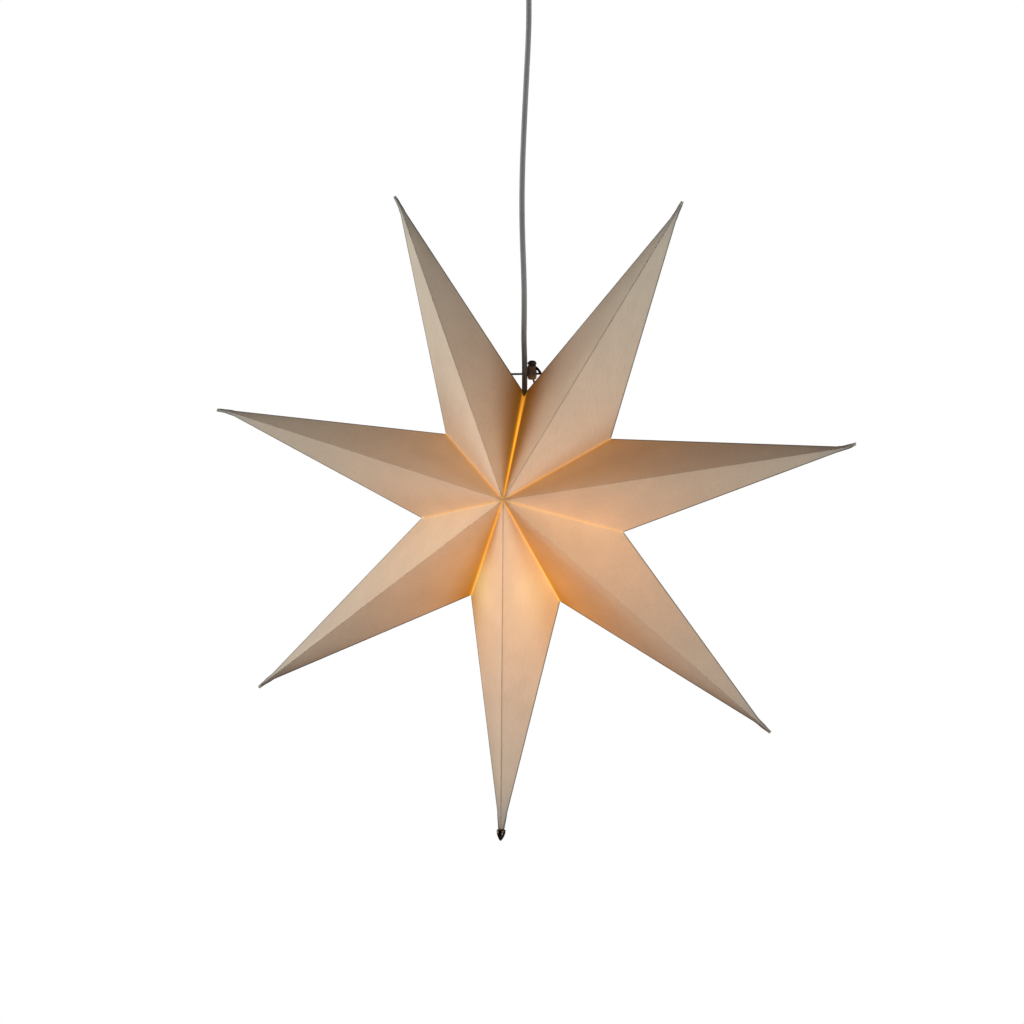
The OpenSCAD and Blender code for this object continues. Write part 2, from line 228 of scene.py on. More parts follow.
def flutes(count, depth, low, high):
    """A shape for lathe(): shallow grooves along the axis between two heights."""
    def shape(radius, height, angle):
        ease = max(0, min(1, height - low, high - height))
        return radius - depth * ease * (0.5 - 0.5 * math.cos(count * angle))
    return shape


def climb(radius, low, high, step):
    """Points up a straight wall, close enough together for a thread or flutes."""
    count = round((high - low) / step)
    return [(radius, low + (high - low) * k / count) for k in range(count + 1)]


def rounded(profile, radius, steps=3):
    """The profile, in mm, with each corner between its ends replaced by a short curve."""
    out = [profile[0]]
    for before, here, after in zip(profile, profile[1:], profile[2:]):
        here_v, to_before = Vector(here), Vector(before) - Vector(here)
        to_after = Vector(after) - here_v
        cut = min(radius, to_before.length * 0.45, to_after.length * 0.45)
        a = here_v + to_before.normalized() * cut
        b = here_v + to_after.normalized() * cut
        for k in range(steps + 1):
            t = k / steps
            out.append(tuple(a * (1 - t) ** 2 + here_v * 2 * t * (1 - t) + b * t * t))
    out.append(profile[-1])
    return out


def tube(name, path, radius, sides=12):
    """A round tube along a path of points, with its ends closed."""
    points, faces = [], []
    up = Vector((0, 1, 0))
    for k, p in enumerate(path):
        ahead = (path[min(k + 1, len(path) - 1)] - path[max(k - 1, 0)]).normalized()
        side = ahead.cross(up)
        side = side.normalized() if side.length > 1e-6 else Vector((1, 0, 0))
        over = side.cross(ahead).normalized()
        up = over
        for s in range(sides):
            a = 2 * math.pi * s / sides
            points.append(p + side * radius * math.cos(a) + over * radius * math.sin(a))
    for k in range(len(path) - 1):
        for s in range(sides):
            n = (s + 1) % sides
            faces.append((k * sides + s, k * sides + n, (k + 1) * sides + n, (k + 1) * sides + s))
    last = (len(path) - 1) * sides
    faces.append(tuple(range(sides - 1, -1, -1)))
    faces.append(tuple(last + s for s in range(sides)))
    return mesh_piece(name, points, faces)


# ---------- materials ----------
class Nodes:
    """A material's node tree, with short calls for the nodes used here."""

    def __init__(self, name):
        self.material = bpy.data.materials.new(name)
        self.material.use_nodes = True
        self.tree = self.material.node_tree
        self.shader = self.tree.nodes["Principled BSDF"]
        self.material.cycles.emission_sampling = "NONE"     # no glow is sampled as a lamp

    def add(self, kind, **settings):
        node = self.tree.nodes.new("ShaderNode" + kind)
        for key, value in settings.items():
            setattr(node, key, value)
        return node

    def put(self, value, socket):
        """Links a socket, or sets a plain value."""
        if isinstance(value, bpy.types.NodeSocket):
            self.tree.links.new(value, socket)
        else:
            socket.default_value = value

    def math(self, operation, a, b=0.0, clamp=False):
        node = self.add("Math", operation=operation, use_clamp=clamp)
        self.put(a, node.inputs[0])
        self.put(b, node.inputs[1])
        return node.outputs[0]

    def vector(self, operation, a, b=(0, 0, 0)):
        node = self.add("VectorMath", operation=operation)
        self.put(a, node.inputs[0])
        self.put(b, node.inputs[1])
        value = operation in ("DOT_PRODUCT", "LENGTH", "DISTANCE")
        return node.outputs["Value" if value else "Vector"]

    def scaled(self, colour, amount):
        node = self.add("VectorMath", operation="SCALE")
        self.put(colour, node.inputs[0])
        self.put(amount, node.inputs["Scale"])
        return node.outputs["Vector"]

    def place(self):
        return self.add("TexCoord").outputs["Object"]

    def axis(self, name):
        node = self.add("SeparateXYZ")
        self.put(self.place(), node.inputs[0])
        return node.outputs[name]

    def noise(self, scale, detail=3.0, stretch=None):
        node = self.add("TexNoise")
        node.inputs["Scale"].default_value = scale
        node.inputs["Detail"].default_value = detail
        coordinates = self.place()
        if stretch is not None:
            coordinates = self.vector("MULTIPLY", coordinates, stretch)
        self.put(coordinates, node.inputs["Vector"])
        return node.outputs["Fac"]

    def attribute(self, name):
        return self.add("Attribute", attribute_name=name).outputs["Fac"]

    def span(self, value, low, high, to_low=0.0, to_high=1.0):
        node = self.add("MapRange")
        self.put(value, node.inputs["Value"])
        for key, number in (("From Min", low), ("From Max", high), ("To Min", to_low),
                            ("To Max", to_high)):
            node.inputs[key].default_value = number
        return node.outputs["Result"]

    def mix(self, factor, a, b):
        node = self.add("Mix", data_type="RGBA")
        self.put(factor, node.inputs["Factor"])
        for value, socket in ((a, node.inputs[6]), (b, node.inputs[7])):
            self.put(value if isinstance(value, bpy.types.NodeSocket) else (*value[:3], 1), socket)
        return node.outputs[2]

    def bump(self, height, strength, distance):
        node = self.add("Bump")
        node.inputs["Strength"].default_value = strength
        node.inputs["Distance"].default_value = distance
        self.put(height, node.inputs["Height"])
        self.put(node.outputs["Normal"], self.shader.inputs["Normal"])

    def set(self, **values):
        for key, value in values.items():
            name = key.replace("_", " ").title().replace("Ior", "IOR")
            if isinstance(value, tuple):
                value = (*value, 1)
            self.put(value, self.shader.inputs[name])


PAPER_COLOR = (0.62, 0.566, 0.458)
BULB_LIGHT = LAMP + Vector((0, 0, -16 * MM))
HAZE_CENTRE = LAMP + Vector((9 * MM, 0, -60 * MM))      # where light scattered inside collects
BEAM_CENTRE = LAMP + Vector((-14 * MM, 0, -68 * MM))    # where the light on the paper comes from
HAZE = (0.75, 0.22, 0.004)                              # how strong each is: red, green, blue
BEAM = (1.2e-4, 2e-4, 0.9e-4)
VALLEY_LIGHT = (0.34, 0.112, 0.0)                       # light that collects beside a seam
HAZE_REACH = 103 * MM
LINE_REACH = 0.8 * MM                                   # how wide light leaks out of a seam
INSIDE_REACH = 1 / 7                                    # how far the bulb lights the inside


def fade(m, distance, reach):
    """1 at distance 0, falling off smoothly over the reach."""
    return m.math("POWER", math.e, m.math("MULTIPLY", distance, -1 / reach))


def paper_outside():
    """The arms' outside: fibres, painted shade along the outer folds, the ridges, the apex, the seam
    valleys and the edges towards the tips, and the bulb's light coming through.
    """
    m = Nodes("paper_outside")
    cloud = m.noise(38, 4)
    fibre = m.noise(520, 3, (1, 1, 0.12))
    speck = m.noise(1100, 2)
    tail = m.attribute("tail")
    valley = m.attribute("valley")
    apex = m.span(m.attribute("apex"), 0.5 * MM, 9 * MM, 0.55, 0.0)
    colour = m.mix(m.span(cloud, 0.3, 0.7), [c * 0.97 for c in PAPER_COLOR],
                   [c * 1.03 for c in PAPER_COLOR])
    colour = m.mix(m.span(fibre, 0.42, 0.62, 0, 0.16), colour, (0.42, 0.37, 0.31))
    colour = m.mix(tail, colour, (0.42, 0.435, 0.395))
    # painted shade along the outer edges towards the tips, on the sides away from the light
    colour = m.mix(m.attribute("tip_shade"), colour, (0.1, 0.085, 0.07))
    # painted shade in the valleys beside the seams
    colour = m.mix(m.math("MULTIPLY", valley, 0.85), colour, (0.05, 0.025, 0.008))
    # painted shade at the apex, where the arms' folds meet
    colour = m.mix(apex, colour, (0.2, 0.18, 0.165))
    # painted shade: a dark line along the arm's outer folds
    edge = m.span(m.attribute("edge"), 0.5 * MM, 1.7 * MM, 0.85, 0.0)
    colour = m.mix(edge, colour, (0.085, 0.08, 0.07))
    # painted shade along the ridges, stronger on some arms than others
    ridge = m.math("MULTIPLY", m.span(m.attribute("ridge"), 0.2 * MM, 1.6 * MM, 0.6, 0.0),
                   m.attribute("ridge_shade"))
    colour = m.mix(ridge, colour, (0.22, 0.2, 0.18))
    m.set(base_color=colour, roughness=0.86, specular_ior_level=0.25)
    # light of the bulb coming through the paper
    place = m.add("NewGeometry")
    from_haze = m.vector("DISTANCE", place.outputs["Position"], tuple(HAZE_CENTRE))
    haze = fade(m, from_haze, HAZE_REACH)
    from_bulb = m.vector("SUBTRACT", place.outputs["Position"], tuple(BEAM_CENTRE))
    distance = m.vector("LENGTH", from_bulb)
    facing = m.vector("DOT_PRODUCT", from_bulb, place.outputs["True Normal"])
    beam = m.math("DIVIDE", m.math("MAXIMUM", facing, 0.0), m.math("POWER", distance, 3.0))
    shade = m.math("ADD", m.math("MULTIPLY", valley, 0.6), m.math("MAXIMUM", apex, edge))
    shade = m.math("ADD", shade, m.math("MULTIPLY", ridge, 0.4))
    uneven = m.math("MULTIPLY", m.span(cloud, 0.3, 0.7, 0.95, 1.05),
                    m.math("SUBTRACT", 1.0, shade, clamp=True))
    leak = m.attribute("line")
    line = m.math("MULTIPLY", fade(m, m.attribute("seam"), LINE_REACH), leak)
    gold = m.mix(m.span(leak, 0.32, 0.48), (0.75, 0.55, 0.16), (0.62, 0.27, 0.02))
    glow = m.scaled(HAZE, m.math("MULTIPLY", haze, uneven))
    glow = m.vector("ADD", glow, m.scaled(BEAM, m.math("MULTIPLY", beam, uneven)))
    glow = m.vector("ADD", glow, m.scaled(VALLEY_LIGHT, m.attribute("valley_glow")))
    glow = m.vector("ADD", glow, m.scaled(gold, line))
    m.set(emission_color=glow, emission_strength=1.0)
    height = m.math("ADD", m.math("MULTIPLY", fibre, 0.6), m.math("MULTIPLY", speck, 0.4))
    m.bump(height, 0.35, 0.12 * MM)
    return m.material


def gap_glow_material():
    """The glow sheet's paper: painted bulb light, brighter lower down and a little patchy."""
    m = Nodes("gap_glow_paper")
    glow = m.span(m.axis("Z"), STAR.z + 70 * MM, STAR.z + 98 * MM, 1.3, 0.55)
    patch = m.span(m.noise(70, 3), 0.3, 0.7, 0.9, 1.1)
    m.set(base_color=(0.5, 0.35, 0.2), roughness=0.9, emission_color=(1.0, 0.36, 0.03),
          emission_strength=m.math("MULTIPLY", glow, patch))
    m.bump(m.noise(900, 3), 0.3, 0.12 * MM)
    return m.material


def paper_inside():
    # the arms' inside, with the bulb's light painted on as a glow that fades away from the bulb
    m = Nodes("paper_inside")
    place = m.add("NewGeometry").outputs["Position"]
    light = fade(m, m.vector("DISTANCE", place, tuple(BULB_LIGHT)), INSIDE_REACH)
    m.set(base_color=(0.7, 0.55, 0.4), roughness=0.9, emission_color=(1.0, 0.42, 0.05),
          emission_strength=m.math("MULTIPLY", light, 1.5))
    m.bump(m.noise(900, 3), 0.3, 0.12 * MM)
    return m.material


def plastic(name, colour, roughness, grain=700, depth=0.02):
    """Moulded plastic or glaze, with a fine grain, depth in mm."""
    m = Nodes(name)
    tint = m.noise(45, 3)
    shade = m.mix(m.span(tint, 0.3, 0.7), [c * 0.93 for c in colour], [c * 1.06 for c in colour])
    m.set(base_color=shade, roughness=m.span(m.noise(260, 3), 0.3, 0.7, roughness * 0.85,
                                             roughness * 1.2))
    m.bump(m.noise(grain, 2), 0.4, depth * MM)
    return m.material


def lock_plastic():
    """The cord lock's barrel, paler below its string."""
    m = Nodes("brown_plastic")
    string_z = STAR.z + TIE_Z
    low = m.span(m.axis("Z"), string_z - 3 * MM, string_z, 1.0, 0.0)
    cloud = m.span(m.noise(300, 3), 0.3, 0.7)
    body = m.mix(cloud, (0.36, 0.29, 0.26), (0.42, 0.34, 0.305))
    m.set(base_color=m.mix(low, body, (0.74, 0.64, 0.56)), roughness=0.42)
    m.bump(m.noise(700, 2), 0.4, 0.02 * MM)
    return m.material


def metal(name, colour, roughness, metallic=1.0, grain=0.03):
    m = Nodes(name)
    wear = m.noise(160, 4)
    shade = m.mix(m.span(wear, 0.35, 0.7), colour, [c * 0.72 for c in colour])
    m.set(base_color=shade, metallic=metallic,
          roughness=m.span(m.noise(900, 3), 0.3, 0.7, roughness * 0.7, roughness * 1.4))
    m.bump(m.noise(1200, 2), 0.25, grain * MM)
    return m.material


def cord_skin():
    m = Nodes("cord_pvc")
    scuff = m.noise(120, 4, (1, 1, 0.2))
    colour = m.mix(m.span(scuff, 0.35, 0.7), (0.3, 0.3, 0.292), (0.36, 0.36, 0.35))
    m.set(base_color=colour, roughness=0.55, specular_ior_level=0.35)
    m.bump(m.noise(1500, 2, (1, 1, 0.3)), 0.2, 0.03 * MM)
    return m.material


def string_skin():
    m = Nodes("brown_string")
    twist = m.add("TexWave", wave_type="BANDS", bands_direction="DIAGONAL")
    twist.inputs["Scale"].default_value = 420
    m.put(m.place(), twist.inputs["Vector"])
    colour = m.mix(twist.outputs["Fac"], (0.03, 0.016, 0.014), (0.075, 0.042, 0.036))
    m.set(base_color=colour, roughness=0.8)
    m.bump(twist.outputs["Fac"], 0.6, 0.15 * MM)
    return m.material


def bulb_frost():
    """Opal glass, lit from inside and dimmer towards its neck."""
    m = Nodes("frosted_glass")
    low, high = LAMP.z + 2 * MM, LAMP.z + 18 * MM
    m.set(base_color=(0.9, 0.84, 0.74), roughness=0.22, emission_color=(1.0, 0.6, 0.26),
          emission_strength=m.span(m.axis("Z"), low, high, 2.4, 0.35))
    m.bump(m.noise(1400, 2), 0.15, 0.02 * MM)
    return m.material


def clear_glass():
    m = Nodes("clear_glass")
    m.set(base_color=(0.95, 0.97, 0.97), roughness=0.05, transmission_weight=1.0, ior=1.5)
    m.bump(m.noise(300, 2), 0.1, 0.05 * MM)
    return m.material


def glowing(name, colour, strength):
    m = Nodes(name)
    m.set(base_color=colour, roughness=0.4, emission_color=colour,
          emission_strength=m.span(m.noise(600, 2), 0.3, 0.7, strength * 0.9, strength * 1.1))
    return m.material


def core_colours():
    """Brown on one core and blue on the other, parted at the cord's middle plane."""
    m = Nodes("core_insulation")
    blue = m.math("GREATER_THAN", m.axis("X"), 0.0)
    m.set(base_color=m.mix(blue, (0.13, 0.06, 0.03), (0.03, 0.1, 0.3)), roughness=0.4)
    m.bump(m.noise(900, 2), 0.2, 0.02 * MM)
    return m.material


# ---------- cord ----------
# (x, height above the star's centre) in mm, as in the CAD source
ROUTE = [(-4, 84), (-4, 105), (-4, 128), (-4.6, 150), (-4.4, 172), (-4.4, 194),
         (-5, 216), (-5.8, 238), (-6.4, 262), (-6.4, 286), (-5.9, 310), (-5, 334),
         (-4, 356), (-2.9, 378), (-1.8, 400), (-0.7, 422), (0, 444), (0, 468),
         (0, 498), (0, 529)]


def smooth_path(points, per_span):
    """Catmull-Rom points through a route."""
    out = []
    last = len(points) - 1
    for k in range(last):
        a, b, c, d = (points[min(max(k + n, 0), last)] for n in (-1, 0, 1, 2))
        for step in range(per_span):
            t = step / per_span
            out.append(0.5 * (2 * b + (c - a) * t + (2 * a - 5 * b + 4 * c - d) * t * t
                              + (3 * b - a - 3 * c + d) * t ** 3))
    return out + [points[-1]]


def make_cord(material):
    path = smooth_path([Vector((x * MM, 0, STAR.z + z * MM)) for x, z in ROUTE], 3)
    curve = bpy.data.curves.new("cord_skin", "CURVE")
    curve.dimensions = "3D"
    curve.bevel_depth = CORD_D / 2
    curve.bevel_resolution = 5
    curve.use_fill_caps = True
    spline = curve.splines.new("POLY")
    spline.points.add(len(path) - 1)
    for point, p in zip(spline.points, path):
        point.co = (*p, 1)
    spline.use_smooth = True
    piece = link("cord_skin", curve)
    hold(piece, "lamp_set", "cord_pvc", material, "cord")


# ---------- paper arms ----------
SIDE_STEPS = 18          # points across one facet
ROWS = 46                # rows from the seams to the tail
FLANGE_ROWS = 3
TAIL_ROWS = 9
HOLLOW_ROWS = FLANGE_ROWS + ROWS - 8     # how many rows have an inside
HOLLOW_POINT = 6 * MM                    # the inside ends in a point
TAIL_TURN = [1.5, 7, 1, 0, 2, 6, 5]      # how far each pinched tail turns
TAIL_END = (1.4 * MM, 0.8 * MM)          # half its width and half its thickness, at the end
CAPPED_END = (3 * MM, 1.6 * MM)
CRUMPLE, CAPPED_CRUMPLE = 0.06, 0.02     # how uneven the tail's thickness is
# Per seam: how strongly light leaks out of it. Per arm: how deep in shade the paper beside its
# two seams is, and how much light colours it there.
SEAM_LINE = [0.95, 0.5, 0.3, 0.75, 1.0, 0.28, 0.5, 0.95]
VALLEY = {1: (1.0, 0), 2: (0.45, 0), 3: (0, 1.0), 4: (0.05, 0.05), 5: (1.0, 0), 6: (0, 0.45),
          7: (0, 1.0)}
VALLEY_REACH = {1: 6, 2: 11, 3: 17, 4: 8, 5: 17, 6: 11, 7: 8}       # mm, at the notch
VALLEY_GLOW = {1: 0.12, 2: 0.8, 3: 0.85, 4: 0.5, 5: 0.85, 6: 0.8, 7: 0.15}
RIDGE_SHADE = {1: 0.7, 2: 0.3, 3: 0.08, 4: 1.0, 5: 0.08, 6: 0.2, 7: 0.3}  # how much painted shade lies along each arm's ridges
# How much painted shade the paper gets along its outer edge towards the tip, on the first and second
# seam's side: how far in from the edge, where along the arm that begins, and over what length.
TIP_SHADE = {1: (0.3, 0), 2: (0.4, 0), 3: (0, 0.75), 4: (0.1, 0.3), 5: (0.7, 0), 6: (0, 0.35),
        7: (0, 0.3)}
TIP_SHADE_REACH, TIP_SHADE_FROM, TIP_SHADE_LENGTH = 9 * MM, 165 * MM, 115 * MM
TAIL_FROM, TAIL_BLEND = 46 * MM, 40 * MM     # where the tail's own colour begins, before its end


def spread(steps, bias):
    """Numbers from 0 to 1, closer together near both ends."""
    return [0.5 - 0.5 * math.copysign(abs(math.cos(math.pi * k / steps)) ** bias,
                                      math.cos(math.pi * k / steps)) for k in range(steps + 1)]


def arm_corners(i):
    """The corners of an arm's base: front apex, first notch, back apex, second notch."""
    return [Vector((0, -APEX_Y, 0)), notch_point(i - 1), Vector((0, APEX_Y, 0)), notch_point(i)]


def section(base, way, meet, r):
    """Where the fold from base to the arm's meeting point is at distance r along the arm."""
    return way * meet + (base - way * meet) * (meet - r) / (meet - base.dot(way))


def facet_normal(corners, way, k):
    """Outward normal of facet k."""
    p, q = corners[k], corners[(k + 1) % 4]
    normal = (q - p).cross(way * TIP_R - p).normalized()
    return normal if normal.dot(p + q) > 0 else -normal


def outer_rows(i, corners, way, ring):
    """The arm's outside, as rows of points from the flanges' rim to the end of the tail."""
    side = Vector((-way.z, 0, way.x))
    flange = 1 - FLANGE_W * math.hypot(NOTCH_R, APEX_Y) / (NOTCH_R * APEX_Y)
    rows = [[corners[k].lerp(corners[(k + 1) % 4], t) * share for k, t, _ in ring]
            for share in (flange, 0.5 + 0.5 * flange, 0.96 + 0.04 * flange)]
    tail_r, meet = tip_end(i) - TAIL_LEN, meet_r(i)
    far = [section(p, way, meet, tail_r) for p in corners]
    normals = [facet_normal(corners, way, k) for k in range(4)]
    for row in range(ROWS + 1):
        s = (row / ROWS) ** 1.35
        points = []
        for k, t, even in ring:
            n, t = (k + 1) % 4, t + (even - t) * s ** 2
            p = corners[k].lerp(corners[n], t).lerp(far[k].lerp(far[n], t), s)
            # the paper bows a little between its folds, and is a little uneven
            middle = math.sin(math.pi * t) * math.sin(math.pi * min(1, s * 1.05 + 0.02)) ** 0.7
            wave = noise.noise(Vector((p.x * 16 + i * 7.3, p.y * 16, p.z * 16)))
            points.append(p + normals[k] * (middle * (wave * 1.1 - 0.5) * MM))
        rows.append(points)
    half_w, half_t = CAPPED_END if i == CAPPED else TAIL_END
    ends = [Vector((0, -half_t, 0)), side * half_w, Vector((0, half_t, 0)), -side * half_w]
    if (corners[1] - corners[3]).dot(side) < 0:
        ends[1], ends[3] = ends[3], ends[1]
    for row in range(1, TAIL_ROWS + 1):
        s = row / TAIL_ROWS
        turn = Matrix.Rotation(math.radians(-TAIL_TURN[i - 1]) * s, 3, "Y")
        centre = way * tail_r + turn @ (way * TAIL_LEN * s)
        crumple = 1 + (CAPPED_CRUMPLE if i == CAPPED else CRUMPLE) * math.sin(9 * s + i)
        rows.append([centre + turn @ (((far[k] - way * tail_r).lerp(ends[k], s)).lerp(
            (far[(k + 1) % 4] - way * tail_r).lerp(ends[(k + 1) % 4], s), even) * crumple)
            for k, _, even in ring])
    return rows


def make_arm(i, outside, inside):
    corners, way = arm_corners(i), ray(tip_angle(i))
    ring = [(k, t, n / SIDE_STEPS) for k in range(4)
            for n, t in enumerate(spread(SIDE_STEPS, 0.8)[:-1])]
    count = len(ring)
    rows = outer_rows(i, corners, way, ring)
    points = [p for row in rows for p in row]

    def strip(first, second, flip=False):
        quads = [(first + c, second + c, second + (c + 1) % count, first + (c + 1) % count)
                 for c in range(count)]
        return [q[::-1] for q in quads] if flip else quads

    faces = [q for r in range(len(rows) - 1) for q in strip(r * count, (r + 1) * count)]
    last = (len(rows) - 1) * count
    points.append(sum(rows[-1], Vector()) / count)
    faces += [(last + c, len(points) - 1, last + (c + 1) % count) for c in range(count)]
    skin = mesh_piece(f"paper_arm_{i}", points, faces)
    # the inside of the paper, from the flanges' rim to where the arm gets too narrow
    normals = [vertex.normal.copy() for vertex in skin.data.vertices]
    bpy.data.meshes.remove(skin.data)
    start = len(points)
    for index in range(HOLLOW_ROWS * count):
        points.append(points[index] - normals[index] * PAPER)
    outer_faces = len(faces)
    for r in range(HOLLOW_ROWS - 1):
        faces += strip(start + r * count, start + (r + 1) * count, flip=True)
    inner_last = start + (HOLLOW_ROWS - 1) * count
    points.append(sum(points[inner_last:inner_last + count], Vector()) / count
                  + way * HOLLOW_POINT)
    faces += [(inner_last + (c + 1) % count, len(points) - 1, inner_last + c)
              for c in range(count)]
    faces += strip(0, start, flip=True)
    clearance = way * SEAM_CLEAR
    piece = mesh_piece(f"paper_arm_{i}", [p + clearance + STAR for p in points], faces)
    piece.data.materials.append(outside)
    piece.data.materials.append(inside)
    piece.data.polygons.foreach_set(
        "material_index", [0 if n < outer_faces else 1 for n in range(len(piece.data.polygons))])
    measure_paper(piece, i, corners, way, clearance)
    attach(piece, f"shade_arm_{i}")
    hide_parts(f"arm_{i}")
    flatten(piece)


def flatten(piece):
    """Gives the piece a mesh of its own.
    """
    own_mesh(piece)


def line_distance(co, a, b):
    """Distance of each point from the segment a to b, and how far along it is, from 0 to 1."""
    a, b = np.array(a), np.array(b)
    t = np.clip((co - a) @ (b - a) / ((b - a) @ (b - a)), 0, 1)
    return np.linalg.norm(co - (a + t[:, None] * (b - a)), axis=1), t


def measure_paper(piece, i, corners, way, clearance):
    """Stores where each point lies on its arm, for the paper's colour, its painted shade and its
    glow.
    """
    co = np.array([v.co for v in piece.data.vertices]) - np.array(STAR) - np.array(clearance)
    front, notch_a, back, notch_b = corners
    tail = way * meet_r(i)
    seams, shares = [], []
    for notch in (notch_a, notch_b):
        near, along = line_distance(co, front, notch)
        behind, along_behind = line_distance(co, back, notch)
        shares.append(np.where(near < behind, along, along_behind))
        seams.append(np.minimum(near, behind))
    edges = [line_distance(co, notch, tail)[0] for notch in (notch_a, notch_b)]
    edge = np.minimum(*edges)
    ridge = np.minimum(line_distance(co, front, tail)[0], line_distance(co, back, tail)[0])
    apex = np.minimum(np.linalg.norm(co - np.array(front), axis=1),
                      np.linalg.norm(co - np.array(back), axis=1))
    # painted shade beside the seams, deeper and wider towards the notch
    valley = sum(VALLEY[i][k] * (0.35 + 0.65 * shares[k])
                 * np.exp(-seams[k] / ((3 + VALLEY_REACH[i] * shares[k]) * MM)) for k in (0, 1))
    line = np.where(seams[0] < seams[1], SEAM_LINE[i - 1], SEAM_LINE[i])
    out = co @ np.array(way)
    tail_part = np.clip((out - tip_end(i) + TAIL_FROM) / TAIL_BLEND, 0, 1)
    # painted shade along the outer edge towards the tip
    tip_shade = np.where(edges[0] < edges[1], *TIP_SHADE[i]) * np.exp(-edge / TIP_SHADE_REACH)
    tip_shade *= np.clip((out - TIP_SHADE_FROM) / TIP_SHADE_LENGTH, 0, 1)
    values = {"seam": np.minimum(*seams), "edge": edge, "ridge": ridge, "tip_shade": tip_shade,
              "ridge_shade": np.full(len(co), RIDGE_SHADE[i]),
              "apex": apex, "valley": valley, "valley_glow": valley * VALLEY_GLOW[i],
              "line": line, "tail": tail_part}
    for name, numbers in values.items():
        layer = piece.data.attributes.new(name, "FLOAT", "POINT")
        layer.data.foreach_set("value", np.ascontiguousarray(numbers, np.float32))


GLOW_SHEET_IN = 1.3 * MM        # how far the glow sheet lies behind the arms' edges
GLOW_SHEET_SHORT = 0.25 * MM    # and how far it stops short of the first arm


def make_gap_glow_sheet(skin):
    """A paper sheet behind the open gap that glows with painted light, where the bulb's light shows
    between the first and last arms.
    """
    points, faces, steps = [], [], 24
    for face in (-1, 1):
        base = len(points)
        for k in range(steps + 1):
            s = 0.03 + 0.94 * k / steps
            for seam, arm, short in ((0, 1, GLOW_SHEET_SHORT), (ARMS, ARMS, 0)):
                edge = Vector((0, face * APEX_Y, 0)).lerp(notch_point(seam), s)
                edge += ray(tip_angle(arm)) * SEAM_CLEAR
                inward = Vector((0, -face * GLOW_SHEET_IN, 0)) * min(1, (1 - s) * 12)
                points.append(edge + inward - Vector((short, 0, 0)) + STAR)
        for k in range(steps):
            a = base + 2 * k
            quad = (a, a + 1, a + 3, a + 2)
            faces.append(quad if face < 0 else quad[::-1])
    glow_sheet = mesh_piece("gap_glow_sheet", points, faces)
    hold(glow_sheet, f"shade_arm_{ARMS}", "paper", skin)
    flatten(glow_sheet)


# ---------- ceiling fitting ----------
def bowl(width, height, low, angles):
    """Points of a quarter ellipse that rises from a flat bottom 12 mm in radius."""
    return [(12 + width * math.sin(math.radians(t)),
             low + height * (1 - math.cos(math.radians(t)))) for t in angles]


def make_ceiling_fitting(skins):
    cup = [(8.1, -57.9), (8.2, -58), (11.6, -58)] + bowl(38, 46, -58, range(5, 91, 5))
    cup += [(50, -4.2), (49.5, -3.9), (49.5, -3.4), (50, -3.1), (50, -0.7), (49.8, -0.3),
            (48.6, -0.3)] + bowl(36.4, 44.4, -56.4, range(90, -1, -6)) + [(8.1, -56.4)]
    hold(lathe("ceiling_cup_moulded", cup, Vector((0, 0, 0)), segments=128, closed=True),
         "cup", "white_plastic", skins["white"], "ceiling_cup")
    bush = [(2.9, -69.6), (3.3, -70), (7.4, -70), (8, -69.4), (8, -66.5), (7.7, -66.2),
            (7.7, -65.6), (8, -65.3), (8, -60.05), (10.1, -60.05), (10.5, -59.65)]
    bush += climb(10.5, -59.4, -58.4, 0.25) + [(10.2, -58.05), (8, -58.05), (8, -56.35),
                                               (10.2, -56.35), (10.5, -56), (10.5, -54.7),
                                               (10.2, -54.35), (8, -54.35), (7.6, -54), (2.9, -54)]
    hold(lathe("cup_bush_turned", bush, Vector((0, 0, 0)), segments=144, closed=True,
               shape=flutes(24, 0.35, -60, -58.1)),
         "cup", "white_plastic", skins["white"], "cup_bush")
    for side, name in ((-1, "brown"), (1, "blue")):
        route = [(1.1, -22.5), (1.15, -20.8), (2.3, -19.6), (3.9, -18.8), (4.5, -17.2),
                 (4.5, -13), (4.5, -8)]
        path = smooth_path([Vector((side * x * MM, 0, z * MM)) for x, z in route], 5)
        hold(tube(f"core_{name}", path, 0.9 * MM), "lamp_set", "core_insulation", skins["cores"],
             "cord_cores")
    for node, skin in (("ceiling_bracket", "zinc"), ("cord_clamp", "white"),
                       ("clamp_screws", "zinc"), ("terminal_block", "white"),
                       ("terminal_screws", "brass"), ("grip_screw", "white")):
        finish_node(node, skins[skin])


# ---------- lampholder and bulb ----------
def in_lamp(name, profile, **more):
    """Heights are above the lamp's place, which is level with the star's centre."""
    return lathe(name, profile, LAMP, **more)


